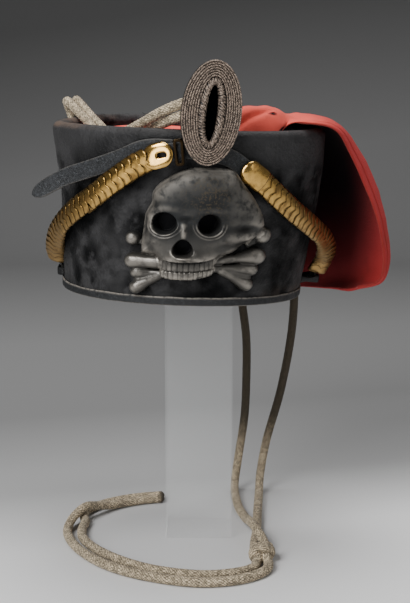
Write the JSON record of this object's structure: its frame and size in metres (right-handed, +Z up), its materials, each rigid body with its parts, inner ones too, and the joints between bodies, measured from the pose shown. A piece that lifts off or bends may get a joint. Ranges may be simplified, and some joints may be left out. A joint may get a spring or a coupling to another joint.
{
  "type": "busby on a display stand",
  "caption": "Hussar busby of short black fur with a red cloth bag, oval braid badge, skull and crossed bones, brass chin scales and a cap line, on a clear block stand.",
  "frame": {"origin": "centre of the stand's foot, on the surface that it stands on", "axes": "+Z up, +X to the viewer's right, -Y towards the viewer, where the badge and the skull are"},
  "size_m": [0.2677, 0.247, 0.3676],
  "materials": {
    "fur": "matte",
    "leather": "satin",
    "bag_cloth": "matte",
    "braid": "satin",
    "black_wool": "matte",
    "cast_metal": "satin",
    "brass": "polished",
    "cord": "matte",
    "clear": "polished"
  },
  "bodies": {
    "root": {"stand": "clear", "fur_body": "fur", "rim_binding": "leather", "crown_bag": "bag_cloth", "skull_and_bones": "cast_metal", "line_keeper": "leather", "strap_left": "leather", "strap_right": "leather", "chin_scales_left": "brass", "chin_scales_right": "brass", "end_plate": "brass", "buckle": "brass", "side_tab_left": "leather", "side_tab_right": "leather", "field_badge": "braid", "badge_core": "black_wool", "cap_line_left": "cord", "cap_line_right": "cord", "cap_line_outer": "cord", "cap_line_inner": "cord", "cap_line_knot": "cord"}
  },
  "joints": []
}
